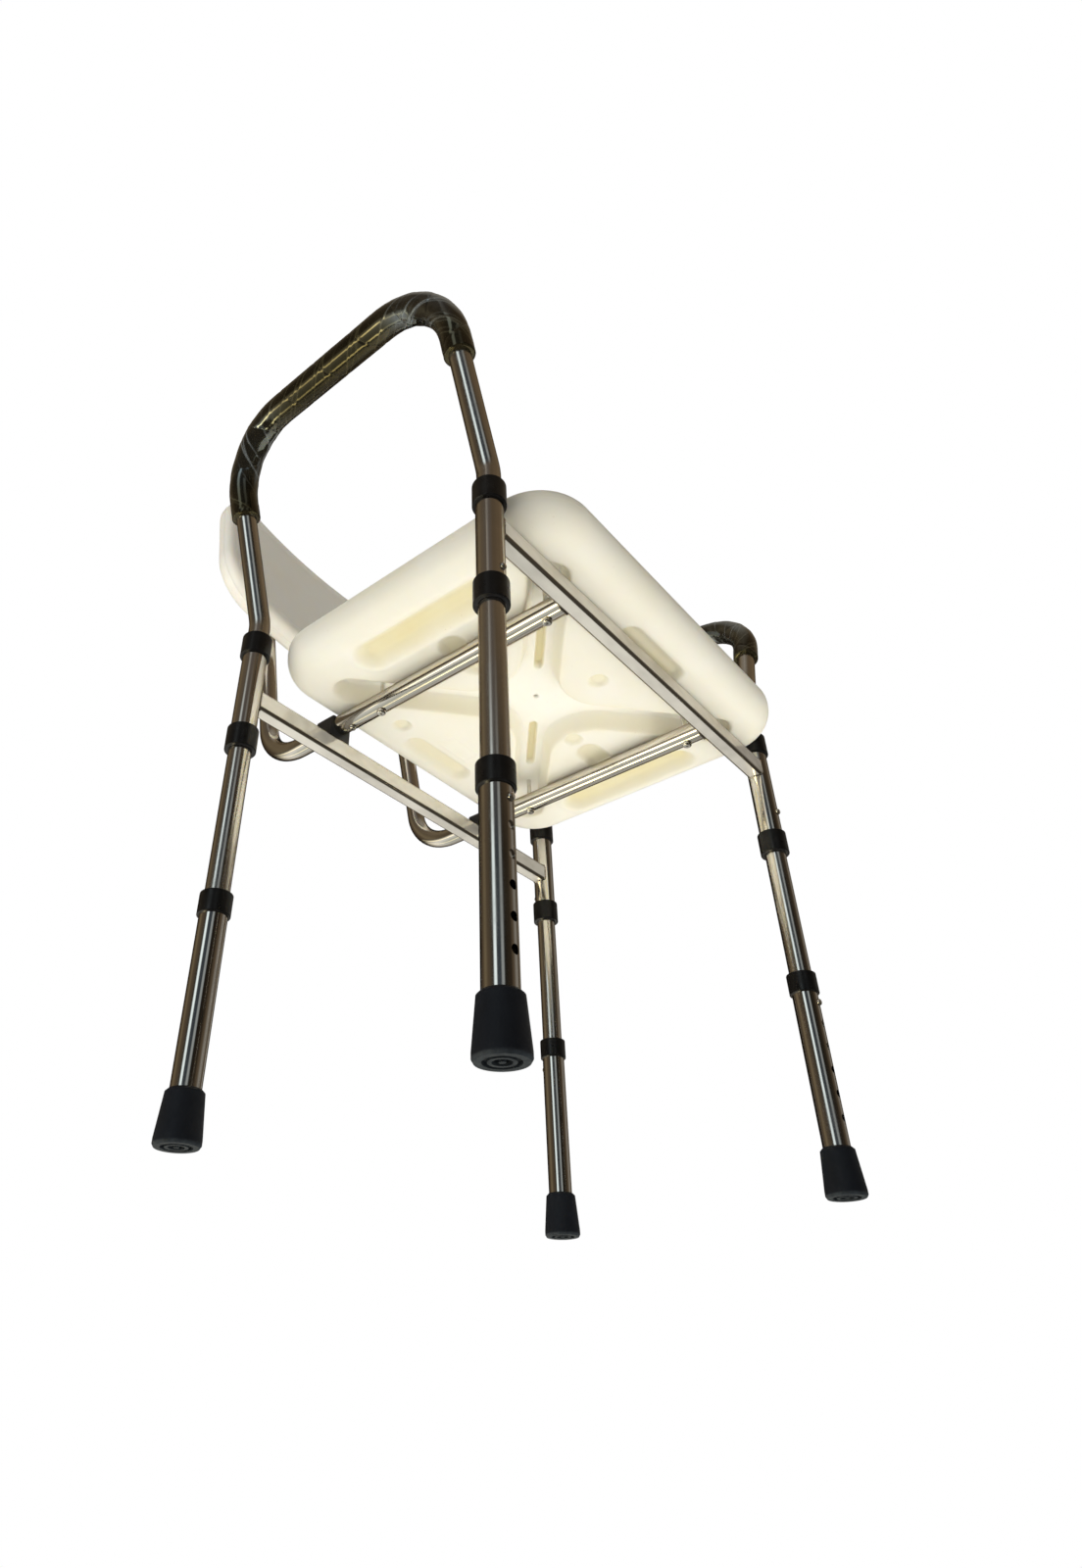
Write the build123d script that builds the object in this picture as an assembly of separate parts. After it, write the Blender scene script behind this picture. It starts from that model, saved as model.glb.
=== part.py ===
from build123d import *
from math import cos, hypot, pi, radians, sin
import os

# Shower chair with armrests, a curved backrest and height-adjustable legs.
# Millimetres, +Z up, the sitter faces -Y, so the sitter's right is at -X.
# Every part is built about the middle of the four posts on the floor, and place_all
# then moves the origin under the middle of the chair's overall box.

# ---- driving dimensions -----------------------------------------------------------
POST_X = 284.0                # posts stand this far either side of the middle
POST_Y = 178.0
OUTER = 28.6                  # outer tubes: sleeves and lower legs
OUTER_BORE = 25.5             # leaves a 0.05 running clearance on the inner tube
INNER = 25.4                  # inner tubes: armrest frames, rails and back tubes
INNER_BORE = 22.4

LEG_BOTTOM, LEG_TOP = 8.0, 238.0
HOLE_PITCH = 25.4
LEG_HOLES = 6
LOWER_BUTTON_Z = 204.0
UPPER_BUTTON_Z = 457.0
ARM_TUBE_BOTTOM = 150.0

SLEEVE_BOTTOM, SLEEVE_TOP = 417.0, 576.0
FRONT_LEFT_DROP = 16.0        # the front left sleeve hangs lower than the other three
COLLAR_LIP = 2.0
COLLAR_LIP_BORE = 26.2
SLEEVE_COLLAR = (35.0, 29.0)  # outer diameter, height
LEG_COLLAR = (33.4, 24.0)

TIP_BASE, TIP_SHOULDER, TIP_HEIGHT = 42.4, 35.6, 48.5
TIP_WASHER = (24.0, 1.5)      # diameter, thickness

BAR_DEPTH, BAR_HEIGHT, BAR_WALL, BAR_ROUND = 20.0, 25.0, 1.2, 4.0
FRONT_BAR_Z = 524.0
REAR_BAR_Z = 490.0

RAIL_X = 148.0
RAIL_Z = FRONT_BAR_Z
RAIL_END_Y = 197.0
LOCK_SCREW_Y = 149.0          # the short screws under the rails, on the back tubes' spigots
SADDLE_Y = 184.0
SADDLE_SLOT = 14.0            # gap left between the saddle's cheeks above the rail
SADDLE_WIDTH, SADDLE_LENGTH, SADDLE_TOP = 32.0, 26.0, 534.0

ARM_BEND_Z, ARM_BEND_R = 602.0, 60.0
ARM_SPLAY = 17.0              # degrees that each armrest leans outward
ARM_RISE = 272.0              # from the bend to the top, along the lean
ARM_CORNER_R = 90.0
GRIP_OD = 36.0
GRIP_START = 155.0            # along the lean, above the bend

SEAT_W, SEAT_D, SEAT_H = 520.0, 428.0, 58.0
SEAT_Y, SEAT_Z = -23.5, 537.0
SEAT_CORNER, SEAT_BOTTOM_R, SEAT_TOP_R = 65.0, 33.0, 20.0
SKIN = 3.5                    # wall of the blow-moulded seat and back panel
RECESS = 24.0                 # depth of the cross moulded into the seat's underside
ARM_WIDTH = 38.0              # width of that cross's arms
CROSS_END = (176.0, 147.0)    # centre of each arm's round end, from the seat's middle
SIDE_POCKET = (207.0, 192.0, 34.0, 9.0)    # distance from the middle, length, width, depth
END_POCKET = (164.0, 112.0, 26.0, 8.0)
MIDDLE_POCKET = (138.0, 74.0, 30.0, 6.0)
DIMPLE = (11.0, 4.0)          # radius, depth
DIMPLES = [(0, -92), (80, 0), (-80, 0), (-86, 149), (86, 149)]
DIAGONAL_SLOT = (103.0, 94.0, 9.0, 2.5)    # distance, length, width, depth in the cross's floor
DRAIN_R = 3.0                 # the small hole through the seat's middle

SCREW_X, SCREW_Y = RAIL_X, 123.0
SCREW, SCREW_HOLE = 6.0, 6.4  # seat screw, and its hole through the rail
INSERT = (11.0, 2.0, 14.0)    # brass bush: diameter, height above the recess's floor, length
BOSS_R = 9.0                  # plastic round each bush
LOCK_SCREW = 4.8

BACK_TILT = 11.5
BACK_CORNER_Y = 304.0         # where the back tubes' two straight runs would meet
BACK_BEND_R = 75.0
BACK_TUBE_TOP = 945.0
SPIGOT, SPIGOT_LENGTH = 22.3, 67.0
PANEL_W, PANEL_H, PANEL_T = 550.0, 214.0, 36.0
PANEL_Z = 860.0
PANEL_R = 1100.0              # the panel's curve about the sitter
PANEL_CORNER, PANEL_EDGE = 60.0, 14.0
PANEL_SCREW_RISE = 70.0
PANEL_SCREW = 5.0
PANEL_BOSS = (7.0, 10.0)      # radius and depth of the plastic round each panel screw

BUTTON, BUTTON_HOLE = 7.6, 8.0
BUTTON_BACK, BUTTON_TIP = 8.5, 17.3      # distances from the post's axis
BUTTON_DOME_R = 2.6
FLANGE = (10.0, 1.2)          # the button's inner flange
SPRING_WIDTH, SPRING_THICK = 8.0, 0.8

POSTS = {
    "front_right": (-1, -1),
    "rear_right": (-1, 1),
    "rear_left": (1, 1),
    "front_left": (1, -1),
}
SIDES = {"right": -1, "left": 1}
UP_FROM = (Align.CENTER, Align.CENTER, Align.MIN)
DOWN_FROM = (Align.CENTER, Align.CENTER, Align.MAX)


# ---- shared shapes ----------------------------------------------------------------
def ring(outer, bore, low, high):
    """An upright tube about the Z axis from low to high."""
    wall = Circle(outer / 2) - Circle(bore / 2)
    return Pos(0, 0, low) * extrude(wall, high - low)


def rod(diameter, start, direction, length):
    """A solid rod from start along direction."""
    plane = Plane(origin=start, z_dir=direction)
    return extrude(plane * Circle(diameter / 2), length)


def bent_tube(path, outer, bore):
    """A tube of constant section along a path of runs and tangent arcs."""
    plane = Plane(origin=path @ 0, z_dir=path % 0)
    return sweep(plane * Circle(outer / 2), path) - sweep(plane * Circle(bore / 2), path)


def radial_hole(z, facing):
    """The cutter for one button hole in an upright tube about the Z axis."""
    return rod(BUTTON_HOLE, (0, 0, z), (0, facing, 0), OUTER)


# ---- legs -------------------------------------------------------------------------
def leg_tube(facing):
    tube = ring(OUTER, OUTER_BORE, LEG_BOTTOM, LEG_TOP)
    for step in range(LEG_HOLES):
        tube -= radial_hole(LOWER_BUTTON_Z - step * HOLE_PITCH, facing)
    return tube


def collar(size, tube_end, upward):
    """A plastic ring over the end of an outer tube, with a thin lip across its edge."""
    diameter, height = size
    body = height - COLLAR_LIP
    part = ring(diameter, OUTER, -body, 0) + ring(diameter, COLLAR_LIP_BORE, 0, COLLAR_LIP)
    circles = part.edges().filter_by(GeomType.CIRCLE)
    part = fillet(circles.filter_by(lambda e: e.radius > diameter / 2 - 0.1), 1.0)
    if not upward:
        part = Rot(180, 0, 0) * part
    return Pos(0, 0, tube_end) * part


def rubber_tip():
    """A tapered rubber ferrule, with two rings moulded into the sole."""
    base, top = TIP_BASE / 2, TIP_SHOULDER / 2
    outline = Polyline(
        (0, 0), (base - 1.5, 0), (base, 2.5), (base, 7), (top, TIP_HEIGHT - 2.5),
        (top - 2.5, TIP_HEIGHT), (0, TIP_HEIGHT), close=True,
    )
    tip = revolve(Plane.XZ * make_face(outline), Axis.Z)
    tip -= ring(base * 1.34, base * 0.98, 0, 3.0)
    tip -= ring(base * 0.70, base * 0.24, 0, 4.0)
    washer, thick = TIP_WASHER
    tip -= Pos(0, 0, LEG_BOTTOM) * extrude(Circle(OUTER / 2), TIP_HEIGHT)
    return tip - Pos(0, 0, LEG_BOTTOM - thick) * extrude(Circle(washer / 2), thick)


def tip_washer():
    washer, thick = TIP_WASHER
    return Pos(0, 0, LEG_BOTTOM - thick) * extrude(Circle(washer / 2), thick)


# ---- buttons and their springs ----------------------------------------------------
def snap_button(z, facing):
    """A flanged pin with a domed end that springs out through the tubes' holes."""
    length = BUTTON_TIP - BUTTON_BACK
    pin = Cylinder(BUTTON / 2, length, align=UP_FROM)
    pin = fillet(pin.edges().sort_by(Axis.Z)[-1], BUTTON_DOME_R)
    pin += Cylinder(FLANGE[0] / 2, FLANGE[1], align=UP_FROM)
    return Plane(origin=(0, facing * BUTTON_BACK, z), z_dir=(0, facing, 0)) * pin


def snap_spring(z, facing):
    """A bent leaf inside the inner tube that pushes one button outward."""
    front = BUTTON_BACK - SPRING_THICK / 2
    back = INNER_BORE / 2 - 1.6
    points = [
        (0, facing * front, z + 8), (0, facing * front, z - 8),
        (0, 0, z - 34), (0, -facing * back, z - 2),
    ]
    path = FilletPolyline(*points, radius=[10, 2.5])
    plane = Plane(origin=points[0], x_dir=(1, 0, 0), z_dir=(0, 0, -1))
    return sweep(plane * Rectangle(SPRING_WIDTH, SPRING_THICK), path)


# ---- seat frame -------------------------------------------------------------------
def sleeve_bottom(post):
    return SLEEVE_BOTTOM - (FRONT_LEFT_DROP if post == "front_left" else 0)


def sleeve(post, facing):
    tube = ring(OUTER, OUTER_BORE, sleeve_bottom(post), SLEEVE_TOP)
    return tube - radial_hole(UPPER_BUTTON_Z, facing)


def crossbar(y, z):
    """A rectangular tube whose ends are cut to the round of the two sleeves."""
    outer = RectangleRounded(BAR_DEPTH, BAR_HEIGHT, BAR_ROUND)
    inner = offset(outer, -BAR_WALL)
    start = Plane(origin=(-POST_X, y, z), x_dir=(0, 1, 0), z_dir=(1, 0, 0))
    bar = extrude(start * (outer - inner), 2 * POST_X)
    for side in SIDES.values():
        bar -= Pos(side * POST_X, y, z) * Cylinder(OUTER / 2, 2 * BAR_HEIGHT)
    return bar


def rail(x):
    """A round tube from the front crossbar's back face to just past the rear crossbar."""
    start = -POST_Y + BAR_DEPTH / 2
    wall = Circle(INNER / 2) - Circle(INNER_BORE / 2)
    tube = extrude(Plane(origin=(x, start, RAIL_Z), z_dir=(0, 1, 0)) * wall, RAIL_END_Y - start)
    for y in screw_rows():
        tube -= Pos(x, y, RAIL_Z) * Cylinder(SCREW_HOLE / 2, 2 * INNER)
    return tube - rod(LOCK_SCREW + 0.2, (x, LOCK_SCREW_Y, RAIL_Z), (0, 0, -1), INNER)


def saddle(x):
    """A plastic cradle that carries the rail's rear end on top of the rear crossbar."""
    bottom = REAR_BAR_Z + BAR_HEIGHT / 2
    block = Box(SADDLE_WIDTH, SADDLE_LENGTH, SADDLE_TOP - bottom, align=UP_FROM)
    block = fillet(block.edges().filter_by(Axis.Y).sort_by(Axis.Z)[-2:], 6)
    block = Pos(x, SADDLE_Y, bottom) * block
    tube = Plane(origin=(x, SADDLE_Y, RAIL_Z), z_dir=(0, 1, 0))
    block -= tube * Cylinder(INNER / 2, 2 * SADDLE_LENGTH)
    gap = Box(SADDLE_SLOT, 2 * SADDLE_LENGTH, INNER)
    return block - Pos(x, SADDLE_Y, RAIL_Z + INNER / 2) * gap


def pan_head(diameter, height):
    """A round screw head that hangs down from the origin."""
    head = Cylinder(diameter / 2, height, align=DOWN_FROM)
    head = fillet(head.edges().sort_by(Axis.Z)[0], height * 0.6)
    return head - Pos(0, 0, -height) * extrude(RegularPolygon(1.9, 6), 1.6)


def screw_rows():
    return (SEAT_Y - SCREW_Y, SEAT_Y + SCREW_Y)


def seat_screws():
    """Four screws that pass up through the rails into the seat."""
    under = RAIL_Z - INNER / 2
    diameter, above, length = INSERT
    reach = SEAT_Z + RECESS + above + length - under
    screw = pan_head(11.5, 4.0) + Cylinder(SCREW / 2, reach, align=UP_FROM)
    return [Pos(x, y, under) * screw for x in (-SCREW_X, SCREW_X) for y in screw_rows()]


def seat_inserts():
    """Four threaded brass bushes moulded into the seat."""
    diameter, above, length = INSERT
    low = SEAT_Z + RECESS + above
    bush = ring(diameter, SCREW, low, low + length)
    return [Pos(x, y, 0) * bush for x in (-SCREW_X, SCREW_X) for y in screw_rows()]


def back_lock_screws():
    """Two short screws under the rails that bear on the back tubes' spigots."""
    under = RAIL_Z - INNER / 2
    screw = pan_head(9.0, 3.5) + Cylinder(LOCK_SCREW / 2, 1.2, align=UP_FROM)
    return [Pos(x, LOCK_SCREW_Y, under) * screw for x in (-RAIL_X, RAIL_X)]


# ---- seat -------------------------------------------------------------------------
def seat_slab(inset):
    """The seat's rounded outer form, drawn in by inset on every face."""
    plan = RectangleRounded(SEAT_W - 2 * inset, SEAT_D - 2 * inset, SEAT_CORNER - inset)
    slab = extrude(plan, SEAT_H - 2 * inset)
    slab = fillet(slab.faces().sort_by(Axis.Z)[0].edges(), SEAT_BOTTOM_R - inset)
    slab = fillet(slab.faces().sort_by(Axis.Z)[-1].edges(), SEAT_TOP_R - inset)
    return Pos(0, 0, inset) * slab


def seat_cross(grow):
    """The X moulded into the underside, with large rounds where its arms meet."""
    reach = hypot(*CROSS_END)
    angle = Vector(1, 0).get_signed_angle(Vector(*CROSS_END))
    arm = SlotCenterToCenter(2 * reach, ARM_WIDTH + 2 * grow)
    cross = Rot(0, 0, angle) * arm + Rot(0, 0, -angle) * arm
    inner = cross.vertices().filter_by(lambda v: hypot(v.X, v.Y) < ARM_WIDTH)
    return extrude(fillet(inner, 62 - grow), RECESS + grow)


def pocket_pair(size, grow, toward, turn):
    """Two round-ended pockets, facing each other across the seat's middle."""
    distance, length, width, depth = size
    outline = Rot(0, 0, turn) * SlotOverall(length + 2 * grow, width + 2 * grow)
    places = [Pos(*(toward * side * distance)) for side in SIDES.values()]
    return [extrude(place * outline, depth + grow) for place in places]


def seat_pockets(grow):
    """The long pockets beside the edges and the round dimples in the four lobes."""
    across, along = Vector(1, 0, 0), Vector(0, 1, 0)
    radius, depth = DIMPLE
    dimple = extrude(Circle(radius + grow), depth + grow)
    pockets = pocket_pair(SIDE_POCKET, grow, across, 90)
    pockets += pocket_pair(END_POCKET, grow, along, 0)
    pockets += pocket_pair(MIDDLE_POCKET, grow, across, 0)
    return pockets + [Pos(*spot) * dimple for spot in DIMPLES]


def seat():
    """A hollow seat: outer form, less the mouldings, less the sealed space inside."""
    screws = [(x, y) for x in (-SCREW_X, SCREW_X) for y in (-SCREW_Y, SCREW_Y)]
    space = seat_slab(SKIN) - seat_cross(SKIN) - seat_pockets(SKIN)
    space -= [Pos(x, y, 0) * Cylinder(BOSS_R, 2 * SEAT_H) for x, y in screws]
    space -= Cylinder(2 * DRAIN_R, 3 * SEAT_H)
    body = seat_slab(0) - seat_cross(0) - seat_pockets(0) - space
    body -= Cylinder(DRAIN_R, 3 * SEAT_H)
    diameter, above, length = INSERT
    bush = Cylinder(diameter / 2, length, align=UP_FROM)
    shank = Cylinder(SCREW / 2, RECESS + above + length, align=UP_FROM)
    for x, y in screws:
        body -= Pos(x, y, 0) * shank
        body -= Pos(x, y, RECESS + above) * bush
    body -= diagonal_slots()
    return Pos(0, SEAT_Y, SEAT_Z) * body


def diagonal_slots():
    """Two shallow slots in the floor of the cross, on one diagonal."""
    distance, length, width, depth = DIAGONAL_SLOT
    angle = Vector(1, 0).get_signed_angle(Vector(*CROSS_END))
    slot = extrude(SlotOverall(length, width), RECESS + depth)
    return [Rot(0, 0, angle) * Pos(side * distance, 0, 0) * slot for side in SIDES.values()]


# ---- armrests ---------------------------------------------------------------------
def arm_point(side, rise, end):
    """A point on an armrest's centre line, rise up its lean, at the front (-1) or rear (1)."""
    lean = radians(ARM_SPLAY)
    return (side * (POST_X + rise * sin(lean)), end * POST_Y, ARM_BEND_Z + rise * cos(lean))


def armrest_tube(side):
    points = [
        (side * POST_X, -POST_Y, ARM_TUBE_BOTTOM),
        arm_point(side, 0, -1), arm_point(side, ARM_RISE, -1),
        arm_point(side, ARM_RISE, 1), arm_point(side, 0, 1),
        (side * POST_X, POST_Y, ARM_TUBE_BOTTOM),
    ]
    path = FilletPolyline(*points, radius=[ARM_BEND_R, ARM_CORNER_R, ARM_CORNER_R, ARM_BEND_R])
    tube = bent_tube(path, INNER, INNER_BORE)
    for end in (-1, 1):
        for z in (LOWER_BUTTON_Z, UPPER_BUTTON_Z):
            tube -= Pos(side * POST_X, end * POST_Y, 0) * radial_hole(z, end)
    return tube


def grip(side):
    points = [
        arm_point(side, GRIP_START, -1), arm_point(side, ARM_RISE, -1),
        arm_point(side, ARM_RISE, 1), arm_point(side, GRIP_START, 1),
    ]
    cover = bent_tube(FilletPolyline(*points, radius=ARM_CORNER_R), GRIP_OD, INNER)
    low = arm_point(side, GRIP_START, 1)[2] + GRIP_OD / 4
    rims = cover.edges().filter_by(lambda e: abs(e.length - pi * GRIP_OD) < 1)
    return fillet(rims.filter_by(lambda e: e.center().Z < low), 2.0)


# ---- backrest ---------------------------------------------------------------------
def back_tube_axis(rise):
    """Y and Z of a back tube's centre line, rise above the rails along its lean."""
    lean = radians(BACK_TILT)
    return BACK_CORNER_Y + rise * sin(lean), RAIL_Z + rise * cos(lean)


def panel_rise():
    return (PANEL_Z - RAIL_Z) / cos(radians(BACK_TILT))


def back_tube(x):
    """A tube that leaves the rail, bends up and leans back, with a reduced front end."""
    top = (BACK_TUBE_TOP - RAIL_Z) / cos(radians(BACK_TILT))
    points = [(x, RAIL_END_Y, RAIL_Z), (x, BACK_CORNER_Y, RAIL_Z), (x, *back_tube_axis(top))]
    path = FilletPolyline(*points, radius=BACK_BEND_R)
    tube = bent_tube(path, INNER, INNER_BORE)
    front = Plane(origin=(x, RAIL_END_Y - SPIGOT_LENGTH, RAIL_Z), z_dir=(0, 1, 0))
    bore = SPIGOT - 3.0
    tube += extrude(front * (Circle(SPIGOT / 2) - Circle(bore / 2)), SPIGOT_LENGTH)
    shoulder = front.offset(SPIGOT_LENGTH)
    tube += extrude(shoulder * (Circle(INNER / 2) - Circle(bore / 2)), 3)
    for hole in back_screw_places():
        if hole.origin.X * x > 0:
            tube -= hole * Cylinder(PANEL_SCREW / 2 + 0.3, 2 * INNER)
    return tube


def panel_plane():
    """Between the back tubes beside the panel: X sideways, Y up the lean, Z forward."""
    lean = radians(BACK_TILT)
    middle = (0, *back_tube_axis(panel_rise()))
    return Plane(origin=middle, x_dir=(1, 0, 0), z_dir=(0, -cos(lean), sin(lean)))


def back_screw_places():
    """Planes at the four screws that hold the panel, Z forward."""
    base = panel_plane()
    rows = (-PANEL_SCREW_RISE, PANEL_SCREW_RISE)
    points = [base.from_local_coords((x, rise, 0)) for x in (-RAIL_X, RAIL_X) for rise in rows]
    return [Plane(origin=point, x_dir=base.x_dir, z_dir=base.z_dir) for point in points]


def panel_form(inset):
    """A rounded rectangle bent to one radius, drawn in by inset on every face."""
    width, height, thick = PANEL_W - 2 * inset, PANEL_H - 2 * inset, PANEL_T - 2 * inset
    clear = INNER / 2 + 0.3
    middle = clear + PANEL_T / 2 - RAIL_X**2 / (2 * PANEL_R)
    band = Circle(PANEL_R + thick / 2) - Circle(PANEL_R - thick / 2)
    section = Plane(origin=(0, -height / 2, 0), x_dir=(1, 0, 0), z_dir=(0, 1, 0))
    band = extrude(section * (Pos(0, -(PANEL_R + middle)) * band), height)
    face = extrude(RectangleRounded(width, height, PANEL_CORNER - inset), 4 * PANEL_T)
    form = band & Pos(0, 0, -PANEL_T) * face
    rims = form.edges().filter_by(lambda e: e.length > 1)
    return fillet(rims, PANEL_EDGE - inset)


def back_panel():
    panel = panel_plane() * (panel_form(0) - panel_form(SKIN))
    radius, depth = PANEL_BOSS
    boss = Pos(0, 0, INNER / 2 + SKIN) * Cylinder(radius, depth, align=UP_FROM)
    for place in back_screw_places():
        panel += place * boss
        panel -= place * Cylinder(PANEL_SCREW / 2, 44)
    return panel


def back_screws():
    """Four screws that pass forward through the back tubes into the panel."""
    screw = pan_head(10.0, 3.6) + Cylinder(PANEL_SCREW / 2, 34, align=UP_FROM)
    return [place * Pos(0, 0, -INNER / 2) * screw for place in back_screw_places()]


def back_tube_plugs():
    """Plastic plugs in the back tubes' upper ends."""
    lean = radians(BACK_TILT)
    top = (BACK_TUBE_TOP - RAIL_Z) / cos(lean)
    plug = Cylinder(INNER_BORE / 2, 12, align=DOWN_FROM)
    plug += Cylinder(INNER / 2, 2, align=UP_FROM)
    return [
        Plane(origin=(x, *back_tube_axis(top)), z_dir=(0, sin(lean), cos(lean))) * plug
        for x in (-RAIL_X, RAIL_X)
    ]


# ---- the whole chair --------------------------------------------------------------
def post_parts(post, side, end):
    """The parts that stand on one post, built about its axis and then moved there."""
    bottom = sleeve_bottom(post)
    parts = {
        f"{post}_sleeve": sleeve(post, end),
        f"{post}_top_collar": collar(SLEEVE_COLLAR, SLEEVE_TOP, True),
        f"{post}_bottom_collar": collar(SLEEVE_COLLAR, bottom, False),
        f"{post}_upper_button": snap_button(UPPER_BUTTON_Z, end),
        f"{post}_lower_button": snap_button(LOWER_BUTTON_Z, end),
        f"{post}_leg_tube": leg_tube(end),
        f"{post}_leg_collar": collar(LEG_COLLAR, LEG_TOP, True),
        f"{post}_rubber_tip": rubber_tip(),
        f"{post}_tip_washer": tip_washer(),
    }
    return {name: Pos(side * POST_X, end * POST_Y, 0) * part for name, part in parts.items()}


def side_parts(name, side):
    springs = [
        Pos(side * POST_X, end * POST_Y, 0) * snap_spring(z, end)
        for end in (-1, 1) for z in (LOWER_BUTTON_Z, UPPER_BUTTON_Z)
    ]
    return {
        f"{name}_armrest_tube": armrest_tube(side),
        f"{name}_grip": grip(side),
        f"{name}_snap_springs": Compound(springs),
        f"{name}_rail": rail(side * RAIL_X),
        f"{name}_rail_saddle": saddle(side * RAIL_X),
        f"{name}_back_tube": back_tube(side * RAIL_X),
    }


def build():
    parts = {
        "front_crossbar": crossbar(-POST_Y, FRONT_BAR_Z),
        "rear_crossbar": crossbar(POST_Y, REAR_BAR_Z),
        "seat": seat(),
        "seat_screws": Compound(seat_screws()),
        "seat_inserts": Compound(seat_inserts()),
        "back_lock_screws": Compound(back_lock_screws()),
        "back_panel": back_panel(),
        "back_screws": Compound(back_screws()),
        "back_tube_plugs": Compound(back_tube_plugs()),
    }
    for post, (side, end) in POSTS.items():
        parts |= post_parts(post, side, end)
    for name, side in SIDES.items():
        parts |= side_parts(name, side)
    return parts


def place_all(parts):
    """Put the origin on the floor, under the middle of the overall box."""
    middle = round(Compound(list(parts.values())).bounding_box().center().Y, 2)
    return {name: Pos(0, -middle, 0) * part for name, part in parts.items()}


os.makedirs("parts", exist_ok=True)
for node, shape in place_all(build()).items():
    export_step(shape, f"parts/{node}.step")
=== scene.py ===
from math import atan2, cos, hypot, pi, radians, sin, tan

import bpy
import numpy as np
from mathutils import Matrix, Vector


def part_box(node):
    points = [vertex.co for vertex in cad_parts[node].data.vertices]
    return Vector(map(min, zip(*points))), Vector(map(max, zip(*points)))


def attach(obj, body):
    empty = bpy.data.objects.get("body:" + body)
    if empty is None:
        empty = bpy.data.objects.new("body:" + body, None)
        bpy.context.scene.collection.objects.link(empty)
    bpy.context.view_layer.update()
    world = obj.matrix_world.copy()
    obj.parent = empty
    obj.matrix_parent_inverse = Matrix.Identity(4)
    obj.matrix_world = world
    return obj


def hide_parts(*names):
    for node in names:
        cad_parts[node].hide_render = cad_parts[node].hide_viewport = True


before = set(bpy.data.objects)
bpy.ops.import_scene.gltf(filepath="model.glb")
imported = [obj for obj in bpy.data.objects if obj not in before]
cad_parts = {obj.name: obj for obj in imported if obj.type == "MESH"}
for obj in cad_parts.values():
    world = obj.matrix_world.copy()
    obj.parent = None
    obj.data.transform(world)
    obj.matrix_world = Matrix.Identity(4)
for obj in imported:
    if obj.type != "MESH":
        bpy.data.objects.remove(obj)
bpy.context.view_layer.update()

# ---- dimensions, in metres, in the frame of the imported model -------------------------
POST_X, POST_Y = 0.284, 0.178
MID_Y = -0.0827                 # the posts' middle, on Y
OUTER_R, INNER_R = 0.0143, 0.0127
RAIL_X, RAIL_Z = 0.148, 0.524
BAR_DEPTH, BAR_HEIGHT, BAR_ROUND = 0.020, 0.025, 0.004
SEAT_CORNER, SEAT_BOTTOM_R, SEAT_TOP_R = 0.065, 0.033, 0.020
ARM_BEND_Z, ARM_SPLAY, ARM_RISE, ARM_CORNER_R = 0.602, radians(17), 0.272, 0.090
GRIP_START, GRIP_R = 0.155, 0.018
BACK_TILT, BACK_CORNER_Y = radians(11.5), 0.304 + MID_Y
PANEL_W, PANEL_H, PANEL_T = 0.550, 0.214, 0.036
PANEL_Z, PANEL_R, PANEL_CORNER, PANEL_EDGE = 0.860, 1.100, 0.060, 0.014
SIDES = {"right": -1, "left": 1}


# ---- small helpers --------------------------------------------------------------------
def smooth(t):
    t = np.clip(t, 0.0, 1.0)
    return t * t * (3.0 - 2.0 * t)


def add_mesh(name, verts, faces, material, body):
    """A smooth-shaded piece that rides on a body."""
    mesh = bpy.data.meshes.new(name)
    mesh.from_pydata([tuple(v) for v in verts], [], [tuple(int(i) for i in f) for f in faces])
    mesh.update()
    mesh.polygons.foreach_set("use_smooth", [True] * len(mesh.polygons))
    mesh.materials.append(material)
    piece = bpy.data.objects.new(name, mesh)
    bpy.context.scene.collection.objects.link(piece)
    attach(piece, body)
    return piece


def loft_faces(rows, columns, close_rows=False):
    """Quads of a grid whose columns close on themselves, and its rows too if asked."""
    faces = []
    for r in range(rows if close_rows else rows - 1):
        a, b = r * columns, ((r + 1) % rows) * columns
        for c in range(columns):
            d = (c + 1) % columns
            faces.append((a + c, a + d, b + d, b + c))
    return faces


def frames_along(points):
    """Side and up vectors along a line, with as little twist as possible."""
    points = np.asarray(points, float)
    tangent = np.gradient(points, axis=0)
    tangent /= np.linalg.norm(tangent, axis=1)[:, None]
    first = np.cross(tangent[0], [0.0, 0.0, 1.0])
    if np.linalg.norm(first) < 1e-3:
        first = np.array([1.0, 0.0, 0.0])
    side = [first / np.linalg.norm(first)]
    for t in tangent[1:]:
        s = side[-1] - t * (side[-1] @ t)
        side.append(s / np.linalg.norm(s))
    side = np.array(side)
    return side, np.cross(tangent, side)


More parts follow.
